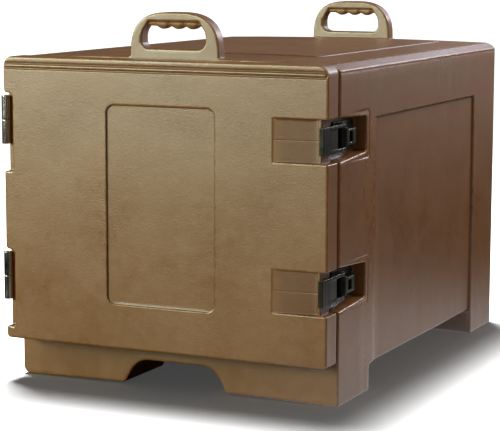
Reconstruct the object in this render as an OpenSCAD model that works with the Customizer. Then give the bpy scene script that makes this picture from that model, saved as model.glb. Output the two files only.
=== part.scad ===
// Insulated front-loading food carrier for full-size sheet pans.
// Rotomoulded double-wall body and door, foam filled, with lift-off
// hinges on the left edge and two snap-over lever latches on the right.
// Units: millimetres.  +Z up, door faces -Y, hinges on -X.
// Origin: centre of the whole outline, on the floor.

/* [Body] */
// Width of the body and of the door
body_w = 578; // [570:1:590]
// Depth from the door's front face to the back of the body
overall_d = 836; // [820:1:860]
// Height of the top surface along the sides
top_z = 540; // [538:1:544]
// Rise of the crowned top at its middle
top_crown = 3.5; // [1:0.5:6]
// Clearance under the body between the feet
foot_h = 44; // [40:1:48]
// Length of each foot, front to back
foot_l = 133; // [110:1:150]
// Half of the gap between two feet at the top of the gap
foot_gap = 62; // [50:1:75]
// Radius of the rounding between the sides and the top
shoulder_r = 13; // [8:1:18]
// Thickness of the moulded skin
skin_t = 5; // [4:0.5:5]

/* [Pan cavity] */
// Clear width between the side walls
cavity_w = 476; // [470:1:478]
// Height of the cavity floor above the ground
cavity_z0 = 94; // [90:1:98]
// Height of the cavity ceiling above the ground
cavity_z1 = 489; // [480:1:490]
// Thickness of the insulated back wall
back_t = 60; // [50:1:70]
// Number of pan rails on each side
rail_n = 5; // [3:1:5]
// Vertical pitch of the pan rails
rail_pitch = 64; // [54:1:66]
// How far each rail stands out from the wall
rail_out = 16; // [12:1:18]

/* [Door] */
// Thickness of the door at its rim
door_t = 41; // [39:1:44]
// Height of the door's lower edge
door_z0 = 71; // [68:1:74]
// Height of the door's upper edge
door_z1 = 540.5; // [536:0.5:542]
// Gap between the door and the body, closed by the gasket
door_gap = 10; // [8:1:12]
// Half width of the sunk panel on the door
panel_hw = 97; // [80:1:110]
// Half height of the sunk panel on the door
panel_hh = 162; // [130:1:170]
// Depth of the sunk panel
panel_depth = 2.5; // [1:0.5:2.5]
// Depth that the inner plug enters the cavity, from the door's rim
plug_t = 21; // [15:1:24]

/* [Hinges] */
// Distance of each hinge's mid height from the door's mid height
hinge_dz = 130; // [120:1:135]
// Length of each hinge knuckle
knuckle_l = 39.5; // [35:0.5:42]
// Outside radius of the hinge knuckles
knuckle_r = 7; // [6:0.5:7]
// Radius of the hinge pin
hinge_pin_r = 3.5; // [3:0.25:4]
// Thickness of the hinge leaves
leaf_t = 2.5; // [2:0.5:3]

/* [Latches] */
// Distance of each latch's mid height from the door's mid height
latch_dz = 118; // [112:1:122]
// Half height of the latch lever
lever_hh = 21.5; // [20:0.5:22.5]
// Radius of the latch pivot pin
latch_pin_r = 2.5; // [2:0.25:3]
// Half height of the finger scoop in the door
scoop_hh = 34; // [32:1:36]

/* [Handles] */
// Half width of each carrying handle
handle_hw = 79.5; // [74:0.5:84]
// Height of the top of the handles
handle_z = 615; // [610:1:620]
// Thickness of the handles, front to back
handle_t = 24; // [22:1:26]

/* [Hidden] */
$fn = 48;

moulding = [0.42, 0.30, 0.19];
foam_c = [0.85, 0.78, 0.55];
steel = [0.78, 0.78, 0.76];
brass_c = [0.75, 0.62, 0.30];
nylon = [0.13, 0.13, 0.09];
rubber_c = [0.10, 0.10, 0.10];

hw = body_w / 2;
body_y = door_t + door_gap;            // front face of the body
door_cz = (door_z0 + door_z1) / 2;
hinge_x = -hw;                         // hinge axis in plan
hinge_y = knuckle_r + 0.2;
hinge_zs = [door_cz + hinge_dz, door_cz - hinge_dz];
latch_x = hw - 13;                     // latch pivot in plan
latch_y = body_y + 41;
latch_zs = [door_cz + latch_dz, door_cz - latch_dz];
pocket_x = hw - 27;                    // floor of the latch pocket
pocket_y1 = body_y + 109;
notch_x = hw - 12.5;                   // floor of the notch in the door's edge
shift_x = knuckle_r / 2;               // centres the whole outline
notch_w = 17; notch_d = 2 * knuckle_r + 1.5;
notch_up = 45; notch_dn = 85;
leaf_body_y = [74, 100];               // screw rows on the body leaves
leaf_z = 9.5;
cav_hw = cavity_w / 2;
cav_y1 = overall_d - back_t;
handle_y = [body_y, overall_d - 32];
recess_d = 5; recess_z = 447;
plug_hw = cav_hw - 7;
plug_z0 = cavity_z0 + 4.5; plug_z1 = cavity_z1 - 5;
insert_r = 4.2; insert_l = 12; screw_r = 2.0; tap_r = 2.1;
fill_r = 13; fill_y = overall_d - 190;

function arc(cx, cy, r, a0, a1, n = 6) =
    [for (i = [0 : n]) [cx + r * cos(a0 + (a1 - a0) * i / n), cy + r * sin(a0 + (a1 - a0) * i / n)]];
function rr(x0, x1, y0, y1, r, n = 6) = concat(
    arc(x1 - r, y1 - r, r, 0, 90, n), arc(x0 + r, y1 - r, r, 90, 180, n),
    arc(x0 + r, y0 + r, r, 180, 270, n), arc(x1 - r, y0 + r, r, 270, 360, n));
function superell(a, b, p, n) = [for (i = [0 : n - 1]) let (t = 360 * i / n)
    [a * sign(cos(t)) * pow(abs(cos(t)), 2 / p), b * sign(sin(t)) * pow(abs(sin(t)), 2 / p)]];

module place() { translate([shift_x, -overall_d / 2, 0]) children(); }
module box(x0, x1, y0, y1, z0, z1) { translate([x0, y0, z0]) cube([x1 - x0, y1 - y0, z1 - z0]); }
module ey(y0, y1) { translate([0, y1, 0]) rotate([90, 0, 0]) linear_extrude(y1 - y0) children(); }
module ex(x0, x1) { translate([x0, 0, 0]) rotate([90, 0, 90]) linear_extrude(x1 - x0) children(); }
module ez(z0, z1) { translate([0, 0, z0]) linear_extrude(z1 - z0) children(); }
module rod_x(x0, x1, y, z, r) { translate([x0, y, z]) rotate([0, 90, 0]) cylinder(r = r, h = x1 - x0); }
module rod_y(x, y0, y1, z, r) { translate([x, y1, z]) rotate([90, 0, 0]) cylinder(r = r, h = y1 - y0); }
module rod_z(x, y, z0, z1, r) { translate([x, y, z0]) cylinder(r = r, h = z1 - z0); }

// ---------------------------------------------------------------- body

// Outline of the body seen from the front, with the crowned top
function front_outline(in = 0) = let (w = hw - in, r = shoulder_r, n = 12, t = top_z - in) concat(
    [[-w, foot_h + in], [w, foot_h + in]],
    arc(w - r, t - r, r, 0, 84, 6),
    [for (i = [1 : n - 1]) let (x = (w - r) * (1 - 2 * i / n)) [x, t + top_crown * (1 - pow(x / (w - r), 2))]],
    arc(-w + r, t - r, r, 96, 180, 6));

module body_block() {
    intersection() {
        ey(body_y, overall_d) polygon(front_outline());
        ez(0, 700) polygon(concat(
            arc(hw - 3, body_y + 3, 3, 270, 360, 3), arc(hw - 18, overall_d - 18, 18, 0, 90, 6),
            arc(-hw + 18, overall_d - 18, 18, 90, 180, 6), arc(-hw + 3, body_y + 3, 3, 180, 270, 3)));
        ex(-400, 400) polygon(concat([[body_y, 0], [overall_d, 0]],
            arc(overall_d - 13, top_z + top_crown - 13, 13, 0, 90, 6),
            arc(body_y + 4, top_z + top_crown - 4, 4, 90, 180, 4)));
    }
}

// One foot pair seen from the front: flared inner side, rounded toe
module foot_outline(s, toe) {
    g = foot_gap;
    polygon([for (p = concat(
        [[g - 4, foot_h], [g + 2, foot_h - 4], [g + 9, foot_h - 11], [g + 15, foot_h - 19], [g + 19, 18], [g + 24, 8]],
        arc(g + 34, 10, 10, 200, 270, 4),
        arc(hw - toe, toe, toe, 270, 360, 4),
        [[hw, foot_h]])) [s * p[0], p[1]]]);
}

module body_feet() {
    color(moulding) place() for (y = [body_y, overall_d - foot_l]) {
        intersection() {
            ey(y, y + foot_l) { foot_outline(1, 3); foot_outline(-1, 12); }
            ex(-400, 400) polygon(concat([[body_y, 60], [body_y, 0]], arc(overall_d - 9, 9, 9, 270, 360, 4), [[overall_d, 60]]));
            ez(0, 80) polygon(concat(
                arc(hw - 3, body_y + 3, 3, 270, 360, 3), arc(hw - 18, overall_d - 18, 18, 0, 90, 6),
                arc(-hw + 18, overall_d - 18, 18, 90, 180, 6), arc(-hw + 3, body_y + 3, 3, 180, 270, 3)));
        }
    }
}

module handle_loop(y) {
    zb = top_z - 1; h = handle_z - top_z;
    difference() {
        ey(y, y + handle_t) intersection() {
            translate([0, top_z + 0.5]) polygon(superell(handle_hw, h - 0.5, 2.9, 72));
            translate([-150, zb]) square([300, h + 5]);
        }
        // grip hole, wider at the two faces than at the finger rib
        ey(y - 1, y + handle_t + 1) translate([0, top_z + 36]) polygon(superell(58, 23, 3.2, 48));
    }
    // finger rib under the grip with three shallow lobes
    ey(y + handle_t / 2 - 5, y + handle_t / 2 + 5) polygon(concat(
        [for (i = [0 : 32]) let (x = -48 + 3 * i) [x, top_z + 51.5 - 3.5 * pow(abs(cos(180 * (x - 5) / 28)), 1.5) * (abs(x - 5) < 42 ? 1 : 0)]],
        [[48, top_z + 62], [-48, top_z + 62]]));
}

module body_handle(y) {
    color(moulding) place() difference() {
        handle_loop(y);
        body_block();
    }
}

module cavity() {
    ey(body_y - 1, cav_y1) polygon(rr(-cav_hw, cav_hw, cavity_z0, cavity_z1, 18, 5));
}

module body_pan_ledges() {
    color(moulding) place() for (i = [0 : rail_n - 1], s = [-1, 1]) {
        z = cavity_z0 + 58 + rail_pitch * i;
        ey(body_y + 30, cav_y1) polygon([for (p = [[cav_hw, z - 12], [cav_hw - rail_out + 2, z - 5],
            [cav_hw - rail_out, z - 3], [cav_hw - rail_out, z - 1], [cav_hw - rail_out + 1, z], [cav_hw, z]]) [s * p[0], p[1]]]);
    }
}

module side_recess() {
    for (s = [-1, 1])
        ez(foot_h - 1, recess_z) polygon([for (p = [[hw + 1, body_y + foot_l - 22], [hw, body_y + foot_l - 12],
            [hw - recess_d + 1, body_y + foot_l + 30], [hw - recess_d, body_y + foot_l + 41],
            [hw - recess_d, overall_d - foot_l - 2], [hw - recess_d + 1, overall_d - foot_l], [hw + 1, overall_d - foot_l]]) [s * p[0], p[1]]]);
}

module latch_pockets() {
    for (z = latch_zs)
        ex(pocket_x, hw + 1) polygon([[body_y - 1, z - 35], [pocket_y1 - 6, z - 27.5], [pocket_y1, z - 22],
            [pocket_y1, z + 22], [pocket_y1 - 6, z + 27.5], [body_y - 1, z + 35]]);
}

// Space between the outer skin and the liner, filled by the foam core
module body_void() {
    s = skin_t;
    difference() {
        box(-hw + s + recess_d, hw - s - recess_d, body_y + s, overall_d - s, foot_h + s, top_z - s);
        box(-cav_hw - s, cav_hw + s, body_y, cav_y1 + s, cavity_z0 - s, cavity_z1 + s);
        for (z = latch_zs) box(cav_hw, hw, body_y, pocket_y1 + s, z - 42, z + 42);
        for (z = hinge_zs) box(-hw, -hw + 22, body_y, body_y + 65, z - 42, z + 2);
        rod_z(0, fill_y, 0, foot_h + s + 2, fill_r + 4);
        for (q = [-1, 1]) for (x = [-1, 1]) box(x < 0 ? -hw : hw - 26, x < 0 ? -hw + 26 : hw, overall_d - 26, overall_d, 0, 700);
    }
}

module body_insert_holes(r, l) {
    for (z = hinge_zs, y = leaf_body_y, k = [-1, 1])
        rod_x(-hw - 0.01, -hw + l, y, z - 0.5 - knuckle_l / 2 + k * leaf_z, r);
}
module latch_insert_holes(r, l) {
    for (z = latch_zs, y = [body_y + 21, body_y + 92], k = [-1, 1])
        rod_x(pocket_x - l, pocket_x + 0.01, y, z + k * 19, r);
}

module body_shell() {
    color(moulding) place() difference() {
        union() {
            difference() {
                body_block();
                side_recess();
            }
            // low platform on the top
            ez(top_z, top_z + top_crown + 2.5) polygon(rr(-200, 195, body_y + 140, overall_d - 60, 12, 4));
        }
        latch_pockets();
        cavity();
        body_void();
        body_insert_holes(insert_r, insert_l);
        latch_insert_holes(insert_r, insert_l);
        rod_z(0, fill_y, foot_h - 1, foot_h + skin_t + 3, fill_r);
    }
}

module body_foam() {
    color(foam_c) place() body_void();
}

module body_fill_plug() {
    color(moulding) place() {
        rod_z(0, fill_y, foot_h, foot_h + skin_t + 2, fill_r);
        rod_z(0, fill_y, foot_h - 3, foot_h, fill_r + 4);
    }
}

// -------------------------------------------------------------- hinges

module leaf_body(z) {
    color(steel) place() difference() {
        union() {
            rod_z(hinge_x, hinge_y, z - 0.5 - knuckle_l, z - 0.5, knuckle_r);
            ex(-hw - leaf_t, -hw) polygon(rr(hinge_y - 2, 114, z + 1.5 - knuckle_l, z - 2.5, 4, 4));
        }
        rod_z(hinge_x, hinge_y, z - 1 - knuckle_l, z, hinge_pin_r);
        for (y = leaf_body_y, k = [-1, 1]) rod_x(-hw - leaf_t - 1, -hw + 1, y, z - 0.5 - knuckle_l / 2 + k * leaf_z, screw_r + 0.3);
    }
}

module leaf_door(z) {
    color(steel) place() difference() {
        union() {
            rod_z(hinge_x, hinge_y, z + 0.5, z + 0.5 + knuckle_l, knuckle_r);
            ex(-hw - leaf_t, -hw) polygon(rr(hinge_y - 2, door_t - 2, z + 2.5, z - 1.5 + knuckle_l, 4, 4));
        }
        rod_z(hinge_x, hinge_y, z, z + 1 + knuckle_l, hinge_pin_r + 0.05);
        for (k = [-1, 1]) rod_x(-hw - leaf_t - 1, -hw + 1, door_t - 12.5, z + 0.5 + knuckle_l / 2 + k * leaf_z, screw_r + 0.3);
    }
}

module hinge_pin(z) {
    color(steel) place() {
        rod_z(hinge_x, hinge_y, z - 0.5 - knuckle_l, z + knuckle_l - 4, hinge_pin_r);
        translate([hinge_x, hinge_y, z + knuckle_l - 4]) cylinder(r1 = hinge_pin_r, r2 = hinge_pin_r - 1.5, h = 2.5);
    }
}

module hinge_washers() {
    color(brass_c) place() for (z = hinge_zs) difference() {
        rod_z(hinge_x, hinge_y, z - 0.5, z + 0.5, knuckle_r - 0.3);
        rod_z(hinge_x, hinge_y, z - 1, z + 1, hinge_pin_r + 0.1);
    }
}

// Pan-head screw along X, its head at x, its tip towards +X for d = 1
module screw_x(x, y, z, d, l = 12, head_r = 4.2, head_t = 2.2) {
    translate([x, y, z]) rotate([0, 90 * d, 0]) {
        difference() {
            union() {
                translate([0, 0, -head_t]) cylinder(r1 = head_r - 0.9, r2 = head_r, h = head_t);
                cylinder(r = screw_r, h = l);
            }
            for (a = [0, 90]) rotate(a) translate([-2.2, -0.5, -head_t - 1]) cube([4.4, 1, 2.2]);
        }
    }
}

module insert_x(x, y, z, d) {
    translate([x, y, z]) rotate([0, 90 * d, 0]) difference() {
        cylinder(r = insert_r, h = insert_l);
        translate([0, 0, -1]) cylinder(r = tap_r, h = insert_l + 2);
    }
}

module hinge_screws_body() {
    color(steel) place() for (z = hinge_zs, y = leaf_body_y, k = [-1, 1])
        screw_x(-hw - leaf_t, y, z - 0.5 - knuckle_l / 2 + k * leaf_z, 1);
}
module hinge_inserts_body() {
    color(brass_c) place() for (z = hinge_zs, y = leaf_body_y, k = [-1, 1])
        insert_x(-hw, y, z - 0.5 - knuckle_l / 2 + k * leaf_z, 1);
}
module hinge_screws_door() {
    color(steel) place() for (z = hinge_zs, k = [-1, 1])
        screw_x(-hw - leaf_t, door_t - 12.5, z + 0.5 + knuckle_l / 2 + k * leaf_z, 1);
}
module hinge_inserts_door() {
    color(brass_c) place() for (z = hinge_zs, k = [-1, 1])
        insert_x(-hw, door_t - 12.5, z + 0.5 + knuckle_l / 2 + k * leaf_z, 1);
}

// ------------------------------------------------------------- latches

module latch_base(z) {
    color(nylon) place() translate([0, 0, z]) difference() {
        union() {
            ex(pocket_x, pocket_x + 4) polygon(rr(body_y + 14, body_y + 99, -25, 25, 4, 4));
            box(pocket_x + 3, hw - 5, latch_y, latch_y + 50, -12.7, 12.7);
            rod_z(latch_x, latch_y, -15.7, 15.7, 8);
            box(pocket_x + 3, latch_x, latch_y - 8, latch_y + 2, -15.7, 15.7);
        }
        rod_z(latch_x, latch_y, -30, 30, latch_pin_r);
        // relief slot behind the knuckle
        box(latch_x + 3, hw, latch_y + 9.5, latch_y + 12.5, -5, 5);
        for (y = [body_y + 21, body_y + 92], k = [-1, 1])
            rod_x(pocket_x - 1, pocket_x + 10, y, k * 19, screw_r + 0.3);
        // shallow well in the outer face
        box(hw - 7, hw, latch_y + 18, latch_y + 44, -8.5, 8.5);
    }
}

module latch_pin(z) {
    color(steel) place() translate([0, 0, z]) {
        rod_z(latch_x, latch_y, -lever_hh - 0.3, lever_hh + 0.3, latch_pin_r);
        for (s = [-1, 1]) rod_z(latch_x, latch_y, s > 0 ? lever_hh + 0.3 : -lever_hh - 1.8, s > 0 ? lever_hh + 1.8 : -lever_hh - 0.3, 4);
    }
}

module latch_screws() {
    color(steel) place() for (z = latch_zs, y = [body_y + 21, body_y + 92], k = [-1, 1])
        screw_x(pocket_x + 4, y, z + k * 19, -1, 13, 3.8, 1.8);
}
module latch_inserts() {
    color(brass_c) place() for (z = latch_zs, y = [body_y + 21, body_y + 92], k = [-1, 1])
        insert_x(pocket_x, y, z + k * 19, -1);
}

module latch_lever(z) {
    px = hw - 8; // outer face of the lever
    color(nylon) place() translate([0, 0, z]) difference() {
        union() {
            // front lip that holds the door's keeper ridge
            ez(-lever_hh, lever_hh) polygon([[px - 8.5, 1.8], [px - 1.2, 1.8], [px, 3], [px, 15], [px - 3, 15], [px - 3, 4.8], [px - 8.5, 4.8]]);
            // outer plate
            box(px - 3, px, 14, body_y + 5, -lever_hh, lever_hh);
            // two arms back to the pivot
            for (k = [-1, 1]) translate([0, 0, k < 0 ? -lever_hh : lever_hh - 5.5]) linear_extrude(5.5)
                union() {
                    polygon([[px, 30], [px, latch_y], [latch_x - 8, latch_y], [latch_x - 7, latch_y - 12], [px - 9, body_y], [px - 3, body_y - 7], [px - 3, 30]]);
                    translate([latch_x, latch_y]) circle(r = 8);
                }
            // stiffening rib across the inside of the plate
            box(px - 7, px - 2, body_y - 3, body_y + 5, -lever_hh, lever_hh);
        }
        rod_z(latch_x, latch_y, -30, 30, latch_pin_r + 0.05);
    }
}

// ---------------------------------------------------------------- door

module scoop_cut(z, o = 0) {
    ez(z - scoop_hh - o, z + scoop_hh + o) polygon([[hw - 92 - o, -1], [hw - 92 - o, 0.8 + o], [hw - 21, 9 + o], [hw - 20, 9 + o],
        [hw - 18.5, 5 + o], [notch_x - o, 5 + o], [notch_x - o, 60], [hw + 1, 60], [hw + 1, -1]]);
}

module hinge_notch(z, o = 0) {
    box(-hw - 1, -hw + notch_w + o, -1, notch_d + o, z - notch_dn - o, z + notch_up - 9 + o);
    box(-hw - 1, -hw + notch_w - 9 + o, -1, notch_d + o, z, z + notch_up + o);
    rod_y(-hw + notch_w - 9, -1, notch_d + o, z + notch_up - 9, 9 + o);
}

module door_plug(y0, y1, in = 0) {
    ey(y0, y1) polygon(rr(-plug_hw + in, plug_hw - in, plug_z0 + in, plug_z1 - in, 16 - in, 5));
}

module door_void() {
    s = skin_t;
    difference() {
        union() {
            box(-hw + s + 1, hw - s, s + panel_depth, door_t - s - 3, door_z0 + s, door_z1 - s);
            door_plug(door_t - s - 4, door_t + plug_t - s, s);
        }
        for (z = latch_zs) scoop_cut(z, s);
        for (z = hinge_zs) {
            hinge_notch(z, s);
            box(-hw, -hw + 20, 0, door_t, z - 2, z + 45);
        }
        for (sx = [-1, 1]) box(sx < 0 ? -hw : hw - 24, sx < 0 ? -hw + 24 : hw, 0, 100, door_z1 - 24, door_z1);
        box(-hw, hw, 0, 100, door_z1 - 22, door_z1);
        rod_y(0, door_t + plug_t - s - 3, door_t + plug_t, plug_z0 + 30, fill_r + 3);
    }
}

module gasket_ring(y0, y1, a, b) {
    difference() {
        ey(y0, y1) polygon(rr(-cav_hw - b, cav_hw + b, cavity_z0 - b, cavity_z1 + b, 18 + b, 6));
        ey(y0 - 1, y1 + 1) polygon(rr(-cav_hw - a, cav_hw + a, cavity_z0 - a, cavity_z1 + a, 18 + a, 6));
    }
}

module door_shell() {
    color(moulding) place() difference() {
        union() {
            intersection() {
                ey(0, door_t) polygon(concat(arc(hw - 17, door_z1 - 17, 17, 0, 90, 8), arc(-hw + 17, door_z1 - 17, 17, 90, 180, 8),
                    arc(-hw + 7, door_z0 + 7, 7, 180, 270, 5), arc(hw - 7, door_z0 + 7, 7, 270, 360, 5)));
                ez(0, 700) polygon(rr(-hw, hw, 0, door_t, 4, 3));
                ex(-400, 400) polygon(rr(0, door_t, door_z0, door_z1, 4, 3));
            }
            door_plug(door_t - 1, door_t + plug_t);
        }
        // sunk panel
        ey(-1, panel_depth) polygon(rr(-panel_hw, panel_hw, door_cz - panel_hh, door_cz + panel_hh, 14, 6));
        // two grooves that leave a bead between them
        for (z = [door_z1 - 11.5, door_z1 - 19]) ey(-1, 2) polygon(rr(-hw + 2.5, hw - 2.5, z - 1.3, z + 1.3, 1.2, 3));
        for (z = latch_zs) scoop_cut(z);
        for (z = hinge_zs) {
            hinge_notch(z);
            // relief for the body leaf, long enough to lift the door off
            box(-hw - 1, -hw + 1.2, notch_d - 1, door_t + 1, z - notch_dn, z + 0.4);
        }
        // seat of the gasket
        gasket_ring(door_t - 3, door_t + 1, 6, 17);
        for (z = hinge_zs, k = [-1, 1]) rod_x(-hw - 0.01, -hw + insert_l, door_t - 12.5, z + 0.5 + knuckle_l / 2 + k * leaf_z, insert_r);
        rod_y(0, door_t + plug_t - skin_t - 4, door_t + plug_t + 1, plug_z0 + 30, fill_r - 3);
        door_void();
    }
}

module door_foam() {
    color(foam_c) place() door_void();
}

module door_fill_plug() {
    color(moulding) place() {
        rod_y(0, door_t + plug_t - skin_t - 3, door_t + plug_t, plug_z0 + 30, fill_r - 3);
        rod_y(0, door_t + plug_t, door_t + plug_t + 2.5, plug_z0 + 30, fill_r);
    }
}

module door_gasket() {
    color(rubber_c) place() {
        gasket_ring(door_t - 3, door_t + 2, 6, 17);
        gasket_ring(door_t + 1, body_y - 0.3, 8, 15);
    }
}

body_shell();
body_handle(handle_y[0]);  // body_handle_front
body_handle(handle_y[1]);  // body_handle_rear
body_feet();
body_pan_ledges();
body_foam();
body_fill_plug();
leaf_body(hinge_zs[0]);  // hinge_leaf_body_upper
leaf_body(hinge_zs[1]);  // hinge_leaf_body_lower
hinge_pin(hinge_zs[0]);  // hinge_pin_upper
hinge_pin(hinge_zs[1]);  // hinge_pin_lower
hinge_washers();
hinge_screws_body();
hinge_inserts_body();
latch_base(latch_zs[0]);  // latch_base_upper
latch_base(latch_zs[1]);  // latch_base_lower
latch_pin(latch_zs[0]);  // latch_pin_upper
latch_pin(latch_zs[1]);  // latch_pin_lower
latch_screws();
latch_inserts();
door_shell();
door_foam();
door_fill_plug();
door_gasket();
leaf_door(hinge_zs[0]);  // hinge_leaf_door_upper
leaf_door(hinge_zs[1]);  // hinge_leaf_door_lower
hinge_screws_door();
hinge_inserts_door();
latch_lever(latch_zs[0]);  // latch_lever_upper
latch_lever(latch_zs[1]);  // latch_lever_lower
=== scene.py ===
import math

import bpy
import numpy as np
import openvdb as vdb
from mathutils import Matrix, Vector


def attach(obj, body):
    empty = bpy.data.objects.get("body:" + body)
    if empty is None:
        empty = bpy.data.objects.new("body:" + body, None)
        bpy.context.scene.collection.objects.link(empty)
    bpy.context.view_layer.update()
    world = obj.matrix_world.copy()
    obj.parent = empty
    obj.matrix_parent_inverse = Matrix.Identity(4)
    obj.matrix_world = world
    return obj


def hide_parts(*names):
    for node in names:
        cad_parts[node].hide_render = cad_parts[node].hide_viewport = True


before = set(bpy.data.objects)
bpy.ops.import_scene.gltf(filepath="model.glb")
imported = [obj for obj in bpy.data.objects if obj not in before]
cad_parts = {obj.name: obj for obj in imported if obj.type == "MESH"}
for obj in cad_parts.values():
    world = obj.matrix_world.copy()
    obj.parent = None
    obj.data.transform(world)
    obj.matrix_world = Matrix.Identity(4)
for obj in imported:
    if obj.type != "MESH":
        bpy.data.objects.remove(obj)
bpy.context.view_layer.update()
F = np.float32

# The shapes below are built in millimetres in the part's own plan: x from the middle of the door,
# y back from the door's front face, z up from the floor.  SHIFT takes them to the row frame.
SHIFT = np.array([3.5, -418.0, 0.0])
HW = 289.0            # half width of body and door
BODY_Y, BACK_Y = 51.0, 836.0
DOOR_T, DOOR_Z0, DOOR_Z1 = 41.0, 71.0, 540.5
TOP = 540.0
CZ = (DOOR_Z0 + DOOR_Z1) / 2
LATCH_Z = (CZ + 118.0, CZ - 118.0)
HINGE_Z = (CZ + 130.0, CZ - 130.0)
HINGE_X, HINGE_Y = -HW, 7.2
LATCH_X, LATCH_Y = 276.0, 92.0
CAV = 238.0
CAV_Z0, CAV_Z1, CAV_Y1 = 94.0, 489.0, 776.0

# ------------------------------------------------------------------ distance fields


def pos(a):
    return np.maximum(a, 0)


def hyp(a, b):
    return np.sqrt(a * a + b * b)


def union(a, b, r=0.0):
    if r <= 0:
        return np.minimum(a, b)
    return np.maximum(r, np.minimum(a, b)) - hyp(pos(r - a), pos(r - b))


def inter(a, b, r=0.0):
    if r <= 0:
        return np.maximum(a, b)
    return np.minimum(-r, np.maximum(a, b)) + hyp(pos(r + a), pos(r + b))


def diff(a, b, r=0.0):
    return inter(a, -b, r)


def slab(w, w0, w1):
    return np.abs(w - (w0 + w1) / 2) - (w1 - w0) / 2


def ext(d2, d1, r=0.0):
    """A flat outline d2 given the thickness d1, its edges rounded by r."""
    a, b = d2 + r, d1 + r
    return hyp(pos(a), pos(b)) + np.minimum(np.maximum(a, b), 0) - r


def rbox(u, v, u0, u1, v0, v1, r=0.0):
    """Rounded rectangle; r is one radius or four: (u0,v0), (u1,v0), (u0,v1), (u1,v1)."""
    if isinstance(r, (tuple, list)):
        lu, lv = u < (u0 + u1) / 2, v < (v0 + v1) / 2
        r = np.where(lu & lv, r[0], np.where(~lu & lv, r[1], np.where(lu & ~lv, r[2], r[3]))).astype(F)
    a, b = slab(u, u0, u1) + r, slab(v, v0, v1) + r
    return hyp(pos(a), pos(b)) + np.minimum(np.maximum(a, b), 0) - r


def poly(u, v, pts):
    """Exact distance to a closed polygon."""
    d = np.full(np.broadcast(u, v).shape, 1e12, F)
    s = np.ones_like(d)
    n = len(pts)
    for i in range(n):
        (au, av), (bu, bv) = pts[i], pts[i - 1]
        eu, ev = bu - au, bv - av
        wu, wv = u - au, v - av
        t = np.clip((wu * eu + wv * ev) / (eu * eu + ev * ev), 0, 1)
        d = np.minimum(d, (wu - eu * t) ** 2 + (wv - ev * t) ** 2)
        c1, c2, c3 = v >= av, v < bv, eu * wv > ev * wu
        s = np.where((c1 & c2 & c3) | ~(c1 | c2 | c3), -s, s)
    return s * np.sqrt(d)


def smooth(t):
    t = np.clip(t, 0, 1)
    return t * t * (3 - 2 * t)


def superellipse(cx, cz, a, b, p, n=96):
    out = []
    for i in range(n):
        t = 2 * math.pi * i / n
        c, s = math.cos(t), math.sin(t)
        out.append((cx + a * math.copysign(abs(c) ** (2 / p), c), cz + b * math.copysign(abs(s) ** (2 / p), s)))
    return out


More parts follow.
